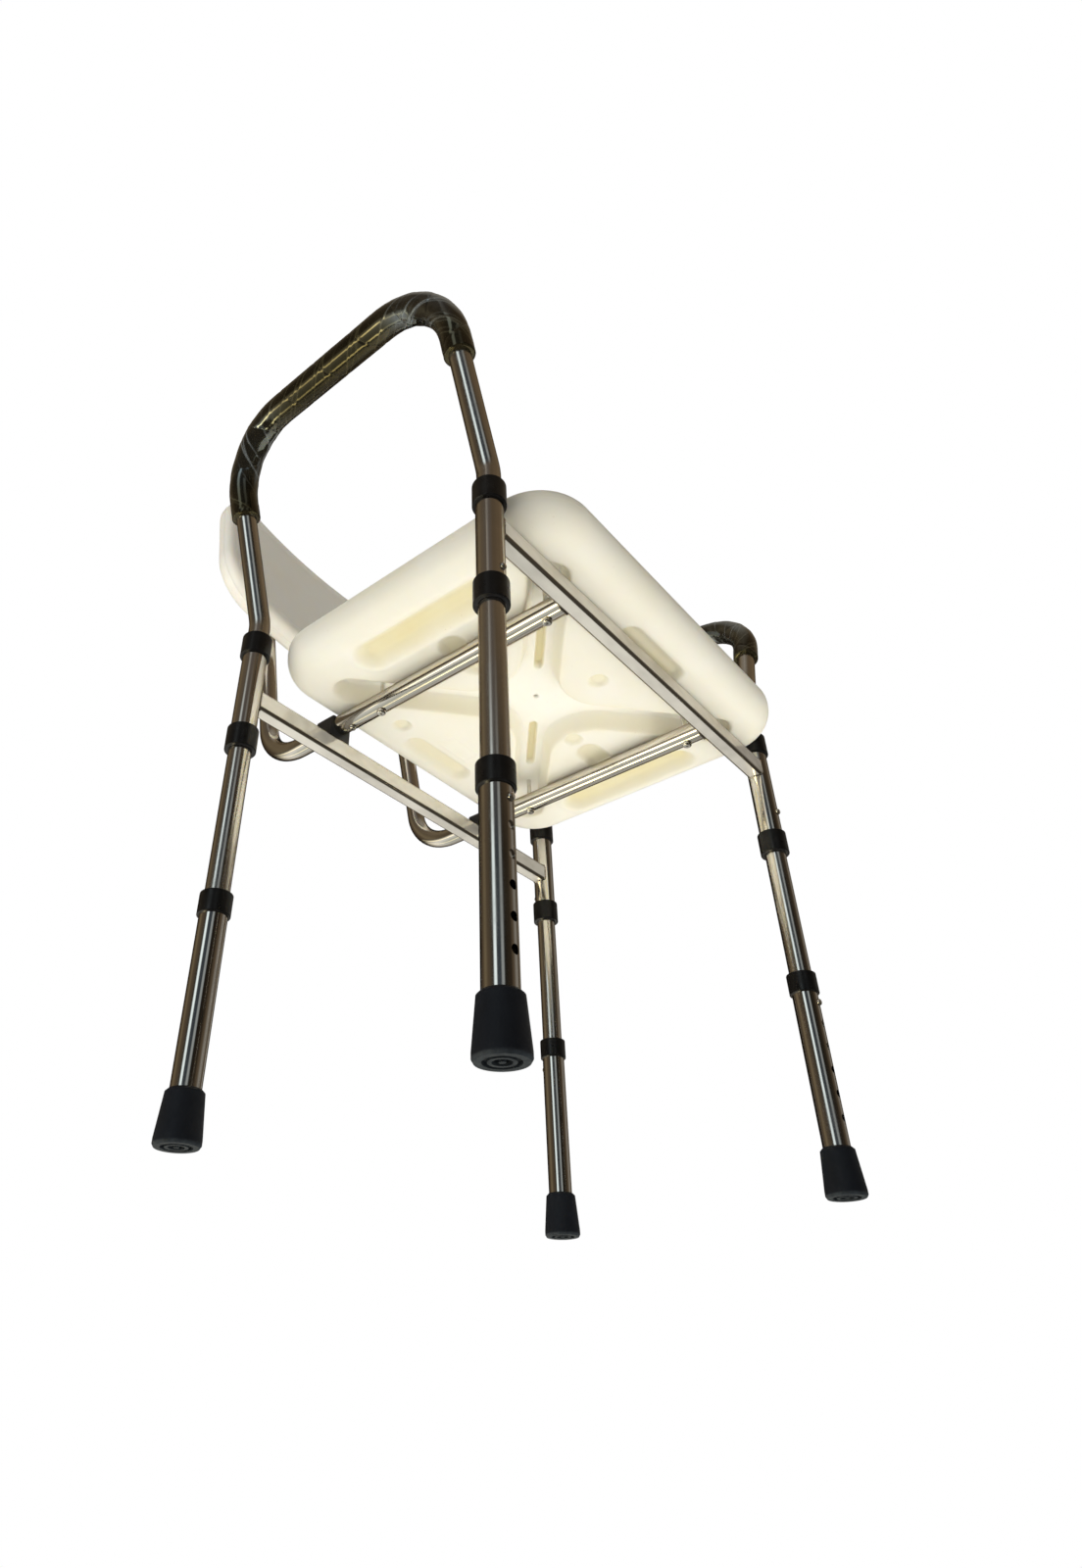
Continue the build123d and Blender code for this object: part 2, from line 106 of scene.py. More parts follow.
def fillet_line(corners, radius, step):
    """Points every step along straight runs joined by tangent arcs."""
    corners = [np.asarray(c, float) for c in corners]
    out = [corners[0]]
    for before, corner, after in zip(corners, corners[1:], corners[2:]):
        u, v = before - corner, after - corner
        u, v = u / np.linalg.norm(u), v / np.linalg.norm(v)
        half = 0.5 * np.arccos(np.clip(u @ v, -1, 1))
        back = radius / tan(half)
        centre = corner + (u + v) / np.linalg.norm(u + v) * radius / sin(half)
        a, b = corner + u * back - centre, corner + v * back - centre
        run = np.linalg.norm(centre + a - out[-1])
        count = max(2, int(run / step))
        out += [out[-1] + (centre + a - out[-1]) * k / count for k in range(1, count + 1)]
        turn = np.arccos(np.clip(a @ b / radius**2, -1, 1))
        count = max(3, int(radius * turn / step))
        start = out[-1] - centre
        for k in range(1, count + 1):
            t = k / count
            out.append(centre + (sin((1 - t) * turn) * start + sin(t * turn) * b) / sin(turn))
    count = max(2, int(np.linalg.norm(corners[-1] - out[-1]) / step))
    last = out[-1]
    out += [last + (corners[-1] - last) * k / count for k in range(1, count + 1)]
    return np.array(out)


# ---- materials ------------------------------------------------------------------------
class Graph:
    """A short way to write a node tree."""

    def __init__(self, tree):
        self.tree = tree

    def add(self, kind, inputs=(), **settings):
        node = self.tree.nodes.new(kind)
        for key, value in settings.items():
            setattr(node, key, value)
        for key, value in dict(inputs).items():
            if isinstance(value, bpy.types.NodeSocket):
                self.tree.links.new(value, node.inputs[key])
            else:
                node.inputs[key].default_value = value
        return node

    def span(self, value, low, high, to_low=0.0, to_high=1.0):
        inputs = {"Value": value, "From Min": low, "From Max": high, "To Min": to_low, "To Max": to_high}
        return self.add("ShaderNodeMapRange", inputs).outputs[0]

    def blend(self, factor, first, second, how="MIX"):
        node = self.add("ShaderNodeMix", data_type="RGBA", blend_type=how)
        for socket, value in ((node.inputs[0], factor), (node.inputs[6], first), (node.inputs[7], second)):
            if isinstance(value, bpy.types.NodeSocket):
                self.tree.links.new(value, socket)
            else:
                socket.default_value = value if socket.name == "Factor" else (*value[:3], 1.0)
        return node.outputs[2]

    def math(self, how, a, b=0.0):
        return self.add("ShaderNodeMath", {0: a, 1: b}, operation=how).outputs[0]


class Nodes(Graph):
    """A node material round its Principled shader."""

    def __init__(self, name):
        self.material = bpy.data.materials.new(name)
        self.material.use_nodes = True
        super().__init__(self.material.node_tree)
        self.shader = self.tree.nodes["Principled BSDF"]

    def set(self, **values):
        for key, value in values.items():
            socket = self.shader.inputs[key.replace("_", " ")]
            if isinstance(value, bpy.types.NodeSocket):
                self.tree.links.new(value, socket)
            else:
                socket.default_value = value

    def attribute(self, name):
        return self.add("ShaderNodeAttribute", attribute_name=name).outputs["Fac"]

    def place(self, scale=(1, 1, 1)):
        coords = self.add("ShaderNodeTexCoord")
        return self.add("ShaderNodeMapping", {"Vector": coords.outputs["Object"], "Scale": scale}).outputs[0]

    def noise(self, scale, detail=3.0, rough=0.5, stretch=(1, 1, 1), distortion=0.0):
        inputs = {"Vector": self.place(stretch), "Scale": scale, "Detail": detail,
                  "Roughness": rough, "Distortion": distortion}
        return self.add("ShaderNodeTexNoise", inputs).outputs["Fac"]

    def bump(self, height, distance, strength=1.0, normal=None):
        inputs = {"Height": height, "Distance": distance, "Strength": strength}
        if normal is not None:
            inputs["Normal"] = normal
        return self.add("ShaderNodeBump", inputs).outputs[0]


def chrome(name, colour, stretch, base_rough=0.07, smudge=0.12, painted_flat_reflection=0.0):
    """Plated tube: hairline marks along it, smudges and faint pits, and flat sides made less metallic and
    painted pale cream, a painted reflection, if it has them.
    """
    n = Nodes(name)
    hairs = n.noise(420.0, 2.0, 0.6, stretch)
    clouds = n.noise(16.0, 4.0, 0.6, distortion=0.6)
    spots = n.noise(260.0, 2.0, 0.5)
    rough = n.span(clouds, 0.42, 0.74, base_rough, base_rough + smudge)
    rough = n.math("ADD", rough, n.span(hairs, 0.45, 0.75, 0.0, 0.06))
    dim = n.span(spots, 0.68, 0.8, 0.0, 0.22)
    tint = n.blend(n.span(clouds, 0.35, 0.75, 0.0, 1.0), colour, [c * 0.86 for c in colour])
    tint = n.blend(dim, tint, (0.25, 0.21, 0.17))
    n.set(Metallic=1.0, Roughness=rough, Specular_Tint=(0.42, 0.36, 0.29, 1.0))
    # painted reflection: flat sides are mixed towards pale cream and made less metallic, in patches
    if painted_flat_reflection:
        facing = n.add("ShaderNodeSeparateXYZ", {0: n.add("ShaderNodeNewGeometry").outputs["Normal"]}).outputs
        flat = n.math("MAXIMUM", n.math("ABSOLUTE", facing[1]), n.math("ABSOLUTE", facing[2]))
        patches = n.span(n.noise(13.0, 3.0, 0.6, (0.6, 1, 1)), 0.38, 0.62, 0.55, 1.0)
        flat = n.math("MULTIPLY", n.span(flat, 0.985, 0.999, 0.0, painted_flat_reflection), patches)
        tint = n.blend(flat, tint, (0.93, 0.90, 0.79))
        n.set(Metallic=n.math("SUBTRACT", 1.0, flat))
    n.set(Base_Color=tint)
    wave = n.bump(n.noise(9.0, 1.0), 0.0006, 0.25)
    n.set(Normal=n.bump(hairs, 0.00004, 0.22, wave))
    return n.material


def moulded_white(name, warm, cool):
    """Blow-moulded plastic: milky, a little see-through, with a fine orange-peel skin."""
    n = Nodes(name)
    tint = n.attribute("tint")
    clouds = n.noise(11.0, 4.0, 0.55)
    shade = n.span(clouds, 0.3, 0.75, 0.0, 0.35)
    base = n.blend(shade, cool, [0.5 * (a + b) for a, b in zip(cool, warm)])
    # painted shade and glow: the 'tint' attribute mixes in the warm yellow, in the seat's recesses, pockets,
    # dimples and slots
    base = n.blend(n.math("MULTIPLY", tint, n.span(clouds, 0.25, 0.7, 0.7, 1.0)), base, warm)
    specks = n.span(n.noise(620.0, 1.0), 0.75, 0.79, 0.0, 1.0)
    specks = n.math("MULTIPLY", specks, n.span(n.noise(30.0), 0.5, 0.7, 0.0, 0.8))
    # painted light: this attribute whitens the floor of the cross recess under the seat and the backrest's rim
    base = n.blend(n.attribute("painted_light"), base, (1.0, 0.985, 0.93))
    base = n.blend(specks, base, (0.42, 0.3, 0.18))
    # painted shade: the walls of the seat's drain hole are darkened nearly to black
    base = n.blend(n.attribute("painted_hole_shade"), base, (0.03, 0.02, 0.012))
    n.set(Base_Color=base, Roughness=n.span(n.noise(55.0, 4.0), 0.35, 0.7, 0.34, 0.5))
    n.set(Subsurface_Weight=0.32, Subsurface_Radius=(0.012, 0.009, 0.005), Subsurface_Scale=0.6, IOR=1.5)
    wavy = n.bump(n.noise(24.0, 2.0), 0.0009, 0.35)
    n.set(Normal=n.bump(n.noise(750.0, 2.0, 0.6), 0.00009, 0.45, wavy))
    return n.material


def black_plastic():
    """Moulded collar plastic: satin, with rubbed edges and a little dust."""
    n = Nodes("black_collar_plastic")
    dust = n.span(n.noise(48.0, 5.0, 0.7), 0.5, 0.85, 0.0, 0.35)
    edge = n.span(n.add("ShaderNodeNewGeometry").outputs["Pointiness"], 0.52, 0.6, 0.0, 0.5)
    base = n.blend(dust, (0.0035, 0.0034, 0.0034), (0.022, 0.021, 0.019))
    n.set(Base_Color=n.blend(edge, base, (0.03, 0.03, 0.031)))
    n.set(Roughness=n.span(n.noise(90.0, 3.0), 0.3, 0.75, 0.25, 0.42), IOR=1.4)
    n.set(Normal=n.bump(n.noise(1100.0, 2.0), 0.00006, 0.5))
    return n.material


def tip_rubber():
    """Vulcanised rubber: blue-black, dull, with a chalky bloom on the sole."""
    n = Nodes("tip_rubber")
    height = n.add("ShaderNodeSeparateXYZ", {0: n.place()}).outputs[2]
    sole = n.span(height, 0.0005, 0.004, 1.0, 0.0)
    bloom = n.math("MULTIPLY", sole, n.span(n.noise(140.0, 5.0, 0.7), 0.3, 0.7, 0.25, 0.9))
    cloud = n.span(n.noise(60.0, 4.0), 0.4, 0.8, 0.0, 0.5)
    base = n.blend(cloud, (0.0055, 0.0075, 0.0115), (0.011, 0.014, 0.020))
    n.set(Base_Color=n.blend(bloom, base, (0.06, 0.072, 0.08)))
    n.set(Roughness=n.span(n.noise(120.0, 4.0), 0.3, 0.75, 0.48, 0.68), IOR=1.38)
    n.set(Normal=n.bump(n.noise(1500.0, 2.0), 0.00012, 0.6, n.bump(n.noise(160.0, 3.0), 0.0002, 0.25)))
    return n.material


def grip_skin():
    """Dark foam under clear film with slanting creases, with painted glints along the creases and rims:
    yellowish where straight, cooler at bends.
    """
    n = Nodes("grip_skin")
    wrap, painted_glint, bend = (n.attribute(name) for name in ("wrap", "painted_glint", "bend"))
    cloud = n.span(n.noise(38.0, 4.0), 0.35, 0.75, 0.0, 1.0)
    base = n.blend(cloud, (0.004, 0.0032, 0.002), (0.010, 0.0078, 0.004))
    # painted glints: creases and rims are mixed towards highlight colours, yellowish where straight, cooler at
    # bends
    line = n.blend(bend, (0.30, 0.26, 0.12), (0.42, 0.46, 0.46))
    base = n.blend(n.math("MULTIPLY", painted_glint, 0.3), base, line)
    n.set(Base_Color=base, Roughness=n.span(n.noise(90.0, 4.0), 0.35, 0.8, 0.05, 0.16))
    n.set(IOR=n.span(bend, 0.0, 1.0, 1.5, 2.2))
    n.set(Specular_Tint=n.blend(bend, (1.0, 0.86, 0.42), (0.85, 0.97, 1.0)))
    n.set(Coat_Weight=n.span(bend, 0.0, 1.0, 0.15, 0.6), Coat_Roughness=0.04)
    crease = n.bump(n.noise(150.0, 3.0, 0.6, (1, 0.35, 0.35), 1.2), 0.0003, n.span(bend, 0.0, 1.0, 0.10, 0.5))
    n.set(Normal=n.bump(wrap, 0.0006, 0.4, crease))
    return n.material


def plain_metal(name, colour, rough, stretch=(1, 1, 1), scale=500.0):
    """Small hardware: turned or stamped metal with fine marks and tarnish."""
    n = Nodes(name)
    marks = n.noise(scale, 3.0, 0.6, stretch)
    tarnish = n.span(n.noise(180.0, 4.0), 0.45, 0.8, 0.0, 0.6)
    n.set(Base_Color=n.blend(tarnish, colour, [c * 0.62 for c in colour]), Metallic=1.0)
    n.set(Roughness=n.span(marks, 0.3, 0.75, rough, rough + 0.18), Normal=n.bump(marks, 0.00006, 0.4))
    return n.material


TUBE = (0.72, 0.69, 0.64)
MATERIALS = {
    "tube_x": chrome("chrome_bar", TUBE, (0.02, 1, 1), painted_flat_reflection=0.55),
    "tube_y": chrome("chrome_rail", TUBE, (1, 0.02, 1)),
    "tube_z": chrome("chrome_post", TUBE, (1, 1, 0.02)),
    "arm": chrome("chrome_armrest", TUBE, (1, 1, 0.02), 0.14, 0.1),
    "weld": chrome("weld_bead", (0.58, 0.54, 0.48), (1, 1, 1), 0.16, 0.2),
    "seat": moulded_white("seat_plastic", (0.76, 0.66, 0.32), (0.865, 0.84, 0.735)),
    "back": moulded_white("back_plastic", (0.84, 0.70, 0.42), (0.86, 0.84, 0.77)),
    "black": black_plastic(),
    "rubber": tip_rubber(),
    "grip": grip_skin(),
    "button": plain_metal("button_metal", (0.76, 0.73, 0.66), 0.1),
    "screw": plain_metal("screw_metal", (0.78, 0.76, 0.72), 0.12),
    "spring": plain_metal("spring_steel", (0.45, 0.45, 0.47), 0.3, (1, 1, 0.05)),
    "washer": plain_metal("washer_steel", (0.55, 0.55, 0.54), 0.32, scale=300.0),
    "brass": plain_metal("brass_insert", (0.72, 0.52, 0.22), 0.22, (1, 1, 4)),
}


def paint_cad():
    """Gives every shown CAD node its own material by the kind of part it is."""
    kinds = [
        ("crossbar", "tube_x"), ("rail_saddle", "black"), ("_rail", "tube_y"), ("back_tube_plugs", "black"),
        ("back_tube", "tube_y"), ("sleeve", "tube_z"), ("leg_tube", "tube_z"), ("armrest_tube", "arm"),
        ("collar", "black"), ("button", "button"), ("rubber_tip", "rubber"), ("tip_washer", "washer"),
        ("springs", "spring"), ("inserts", "brass"), ("screws", "screw"), ("grip", "grip"),
        ("back_panel", "back"), ("seat", "seat"),
    ]
    for node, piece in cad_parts.items():
        kind = next(material for part, material in kinds if part in node)
        piece.data.materials.clear()
        piece.data.materials.append(MATERIALS[kind])


# ---- seat -----------------------------------------------------------------------------
def rounded_outline(width, depth, corner, count):
    """Points round a rounded rectangle, evenly spaced, with their inward directions."""
    a, b = width / 2 - corner, depth / 2 - corner
    runs = [2 * b, 2 * a, 2 * b, 2 * a]
    arc = corner * pi / 2
    places = [((a, -b), (0, 1), 0.0), ((a, b), (-1, 0), pi / 2),
              ((-a, b), (0, -1), pi), ((-a, -b), (1, 0), 1.5 * pi)]
    total = sum(runs) + 4 * arc
    points, inward = [], []
    for k in range(count):
        s = total * k / count
        for ((cx, cy), (ux, uy), angle), run in zip(places, runs):
            if s < run:
                nx, ny = cos(angle), sin(angle)
                points.append((cx + corner * nx + ux * s, cy + corner * ny + uy * s))
                inward.append((-nx, -ny))
                break
            s -= run
            if s < arc:
                centre = (cx + ux * run, cy + uy * run)
                t = angle + s / corner
                points.append((centre[0] + corner * cos(t), centre[1] + corner * sin(t)))
                inward.append((-cos(t), -sin(t)))
                break
            s -= arc
    return np.array(points), np.array(inward)


def capsule(x, y, centre, along, half, radius):
    """Signed distance to a round-ended slot."""
    u = (x - centre[0]) * along[0] + (y - centre[1]) * along[1]
    v = -(x - centre[0]) * along[1] + (y - centre[1]) * along[0]
    return np.hypot(np.maximum(np.abs(u) - half, 0.0), v) - radius


def ray_distance(x, y, start, direction):
    t = np.maximum((x - start[0]) * direction[0] + (y - start[1]) * direction[1], 0.0)
    return np.hypot(x - start[0] - t * direction[0], y - start[1] - t * direction[1])


CROSS_END = (0.176, 0.147)
CROSS_HALF, CROSS_ROUND, CROSS_DEPTH = 0.019, 0.062, 0.024
# Pockets: middle, direction, half length, half width, depth, how much yellow shade and glow is painted in.
POCKETS = [
    ((-0.207, 0.0), (0, 1), 0.079, 0.0165, 0.011, 0.8), ((0.207, 0.0), (0, 1), 0.079, 0.0165, 0.011, 0.8),
    ((0.0, -0.164), (1, 0), 0.043, 0.0125, 0.008, 0.4), ((0.0, 0.164), (1, 0), 0.043, 0.0125, 0.008, 0.4),
    ((-0.138, 0.0), (1, 0), 0.022, 0.0145, 0.006, 0.4), ((0.138, 0.0), (1, 0), 0.022, 0.0145, 0.006, 0.4),
]
DIMPLES = [(0.0, -0.092), (0.080, 0.0), (-0.080, 0.0), (-0.086, 0.149), (0.086, 0.149)]
SLOT_DISTANCE = 0.103
DRAIN_R = 0.003
INNER_STEPS, BOTTOM_RINGS = 96, 15     # rings of the seat's flat underside, and of its lower rounding


def cross_distance(x, y):
    """Signed distance to the X moulded into the underside, whose lobes have round tips."""
    lean = atan2(CROSS_END[1], CROSS_END[0])
    lobes = np.full(x.shape, -1e3)
    for quarter in range(4):
        middle = quarter * pi / 2
        half = lean if quarter % 2 == 0 else pi / 2 - lean
        apex = (CROSS_HALF + CROSS_ROUND) / sin(half)
        tip = (apex * cos(middle), apex * sin(middle))
        gap = np.full(x.shape, 1e3)
        for sign in (-1, 1):
            along = middle + sign * half
            gap = np.minimum(gap, ray_distance(x, y, tip, (cos(along), sin(along))))
        turn = np.abs((np.arctan2(y - tip[1], x - tip[0]) - middle + pi) % (2 * pi) - pi)
        gap = np.where(turn < half, -gap, gap) - CROSS_ROUND
        lobes = np.maximum(lobes, -gap)
    reach = hypot(*CROSS_END)
    arms = np.minimum(*(capsule(x, y, (0, 0), (cos(t), sin(t)), reach, CROSS_HALF) for t in (lean, -lean)))
    return np.maximum(lobes, np.where(np.hypot(x, y) > 0.12, arms, -1e3))


def seat_relief(x, y):
    """Depth of the underside's mouldings at a point, how much yellow shade and glow is painted there, and how
    much painted light.
    """
    lean = atan2(CROSS_END[1], CROSS_END[0])
    cross = cross_distance(x, y)
    depth = CROSS_DEPTH * smooth(0.5 - cross / 0.0105)
    # painted yellow shade and glow in the cross recess and along its walls, then in the pockets, dimples and
    # slots
    tint = 0.07 * smooth(0.5 - cross / 0.02) + 0.2 * np.exp(-((cross / 0.008) ** 2))
    for centre, along, half, radius, deep, yellow in POCKETS:
        gap = capsule(x, y, centre, along, half, radius)
        wall = 0.017 if deep > 0.01 else 0.010
        depth += deep * smooth(0.5 - gap / wall)
        depth -= 0.0012 * np.exp(-(((gap - 0.010) / 0.005) ** 2)) * (deep > 0.01)
        tint += yellow * smooth(0.5 - gap / (1.5 * wall))
    for spot in DIMPLES:
        gap = np.hypot(x - spot[0], y - spot[1]) - 0.0105
        depth += 0.0045 * smooth(0.5 - gap / 0.006)
        tint += 0.4 * smooth(0.5 - gap / 0.008)
    for side in (-1, 1):
        centre = (side * SLOT_DISTANCE * cos(lean), side * SLOT_DISTANCE * sin(lean))
        gap = capsule(x, y, centre, (cos(lean), sin(lean)), 0.0425, 0.0048)
        depth += 0.008 * smooth(0.5 - gap / 0.0035)
        tint += 0.8 * smooth(0.5 - gap / 0.005)
    frame_gap = np.maximum(np.abs(x) - 0.027, np.abs(y - 0.126) - 0.012)
    depth -= 0.0007 * np.exp(-((frame_gap / 0.0013) ** 2))
    # painted light: lightens the floor of the cross recess against its shade
    painted_light = 0.45 * smooth(0.5 - cross / 0.014)
    return depth, np.clip(tint, 0, 1), painted_light


def build_seat():
    low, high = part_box("seat")
    width, length, height = high.x - low.x, high.y - low.y, high.z - low.z
    centre = ((low.x + high.x) / 2, (low.y + high.y) / 2)
    around = 720
    outline, inward = rounded_outline(width, length, SEAT_CORNER, around)
    bearing = np.arctan2(outline[:, 1], outline[:, 0])
    hole = DRAIN_R * np.stack([np.cos(bearing), np.sin(bearing)], 1)
    rows = []

    def ring(inset, z, shrink=0.0):
        flat = outline + inward * inset
        flat = hole + (flat - hole) * (1 - shrink)
        rows.append(np.column_stack([flat, np.full(around, z)]))

    deepest = 0.045
    for z in (height - 0.001, 0.045, 0.036):
        ring(deepest, z, 1.0)
    for k in range(INNER_STEPS + 1):
        ring(deepest, 0.0, 1.0 - (k / INNER_STEPS) ** 0.9)
    for inset in (0.041, 0.037):
        ring(inset, 0.0)
    for k in range(BOTTOM_RINGS):
        t = pi / 2 * k / (BOTTOM_RINGS - 1)
        ring(SEAT_BOTTOM_R * (1 - sin(t)), SEAT_BOTTOM_R * (1 - cos(t)))
    seam = 0.0355
    for dz, out in ((-0.0009, 0.0), (-0.0004, 0.00012), (0.0, 0.0002), (0.0004, 0.00012), (0.0009, 0.0)):
        ring(-out, seam + dz)
    for k in range(11):
        t = pi / 2 * k / 10
        ring(SEAT_TOP_R * (1 - cos(t)), height - SEAT_TOP_R * (1 - sin(t)))
    for inset in (0.026, 0.034, deepest):
        ring(inset, height)
    for k in range(1, 41):
        ring(deepest, height, k / 40)
    grid = np.array(rows)
    x, y = grid[:, :, 0], grid[:, :, 1]
    under = grid[:, :, 2] < 0.0305
    edge = smooth((np.minimum(width / 2 - np.abs(x), length / 2 - np.abs(y)) - 0.014) / 0.014)
    depth, tint, painted_light = seat_relief(x, y)
    first_flat = 3
    flat_rows = np.zeros(grid.shape[0], bool)
    flat_rows[first_flat:first_flat + INNER_STEPS + 3 + BOTTOM_RINGS] = True
    use = under & flat_rows[:, None]
    grid[:, :, 2] += np.where(use, depth * edge, 0.0)
    tint = np.where(use, tint * edge, 0.08)
    # painted shade: the first three rings, the drain hole's walls, are painted dark
    painted_hole_shade = np.zeros_like(tint)
    painted_hole_shade[:3] = 1.0
    grid[:3, :, 2] = np.maximum(grid[:3, :, 2], CROSS_DEPTH + 0.008)
    top = grid[:, :, 2] > height - 0.0001
    dish = smooth(np.minimum(width / 2 - np.abs(x), length / 2 - np.abs(y)) / 0.12)
    grid[:, :, 2] -= np.where(top, 0.0022 * dish, 0.0)
    grid[:, :, 0] += centre[0]
    grid[:, :, 1] += centre[1]
    grid[:, :, 2] += low.z
    count = grid.shape[0]
    faces = loft_faces(count, around, True)
    verts = grid.reshape(-1, 3)
    piece = add_mesh("seat_shell", verts, faces, MATERIALS["seat"], "seat_frame")
    put_attribute(piece, "tint", tint.reshape(-1))
    put_attribute(piece, "painted_hole_shade", painted_hole_shade.reshape(-1))
    put_attribute(piece, "painted_light", np.where(use, painted_light * edge * (1 - tint), 0.0).reshape(-1))
    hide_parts("seat")


def put_attribute(piece, name, values):
    attribute = piece.data.attributes.new(name, "FLOAT", "POINT")
    attribute.data.foreach_set("value", np.asarray(values, np.float32))


# ---- backrest panel ---------------------------------------------------------------------
def panel_place(x, y, w):
    """From the panel's flat drawing (across, up, forward of its middle) to the chair's frame."""
    middle = INNER_R + 0.0003 + PANEL_T / 2 - RAIL_X**2 / (2 * PANEL_R)
    z = PANEL_R + middle - np.sqrt((PANEL_R - w) ** 2 - x**2)
    rise = (PANEL_Z - RAIL_Z) / cos(BACK_TILT)
    oy, oz = BACK_CORNER_Y + rise * sin(BACK_TILT), RAIL_Z + rise * cos(BACK_TILT)
    lean, up = sin(BACK_TILT), cos(BACK_TILT)
    return np.stack([x, oy + y * lean - z * up, oz + y * up + z * lean], -1)


def build_panel():
    around = 560
    outline, inward = rounded_outline(PANEL_W, PANEL_H, PANEL_CORNER, around)
    rows = []

    def ring(inset, w, shrink=0.0):
        flat = (outline + inward * inset) * (1 - shrink)
        rows.append(np.column_stack([flat, np.full(around, w)]))

    half, edge = PANEL_T / 2, PANEL_EDGE
    for k in range(45):
        ring(0.045, -half, 1 - max(k, 0.02) / 44)
    for inset in (0.035, 0.025, 0.018):
        ring(inset, -half)
    for k in range(9):
        t = pi / 2 * k / 8
        ring(edge * (1 - sin(t)), -half + edge * (1 - cos(t)))
    for w, out in ((-0.0009, 0.0), (-0.0004, 0.0004), (0.0, 0.0006), (0.0004, 0.0004), (0.0009, 0.0)):
        ring(-out, w)
    for k in range(9):
        t = pi / 2 * k / 8
        ring(edge * (1 - cos(t)), half - edge * (1 - sin(t)))
    for inset in (0.0165, 0.018, 0.0195, 0.021, 0.023, 0.027, 0.033, 0.039):
        ring(inset, half)
    for k in range(1, 46):
        ring(0.045, half, k / 45 - 0.0005)
    grid = np.array(rows)
    x, y, w = grid[:, :, 0], grid[:, :, 1], grid[:, :, 2]
    inside = np.minimum(PANEL_W / 2 - np.abs(x), PANEL_H / 2 - np.abs(y))
    past_x = np.maximum(np.abs(x) - PANEL_W / 2 + PANEL_CORNER, 0)
    past_y = np.maximum(np.abs(y) - PANEL_H / 2 + PANEL_CORNER, 0)
    corner = np.hypot(past_x, past_y)
    inside = np.where(corner > 0, np.minimum(inside, PANEL_CORNER - corner), inside)
    front, back = w > half - 1e-6, w < -half + 1e-6
    line = np.exp(-(((inside - 0.020) / 0.0022) ** 2))
    w = w - np.where(front, 0.0012 * smooth((inside - 0.0175) / 0.006) - 0.0006 * line, 0.0)
    rib = np.zeros_like(x)
    for across in (-0.085, 0.0, 0.085):
        rib += smooth(0.5 - capsule(x, y, (across, 0.0), (0, 1), 0.042, 0.011) / 0.008)
    w = w + np.where(back, 0.004 * np.clip(rib, 0, 1), 0.0)
    tint = np.where(back, 0.12 * np.clip(rib, 0, 1), 0.06)
    tint += 0.12 * np.exp(-(((inside - 0.004) / 0.006) ** 2))
    # painted light: the panel's rim and back are whitened, most at the rim
    painted_light = np.where(front & (inside > 0.0215), 0.0, 0.3 * np.exp(-((w - 0.004) / 0.016) ** 2))
    place = panel_place(x, y, w).reshape(-1, 3)
    count = grid.shape[0]
    faces = loft_faces(count, around)
    faces.append(tuple(range(around - 1, -1, -1)))
    faces.append(tuple((count - 1) * around + k for k in range(around)))
    piece = add_mesh("backrest_shell", place, faces, MATERIALS["back"], "backrest")
    for name, values in (("tint", tint), ("painted_light", painted_light)):
        put_attribute(piece, name, values.reshape(-1))
    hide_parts("back_panel")


# ---- grips --------------------------------------------------------------------------------
def arm_point(side, rise, end):
    return (side * (POST_X + rise * sin(ARM_SPLAY)), MID_Y + end * POST_Y, ARM_BEND_Z + rise * cos(ARM_SPLAY))


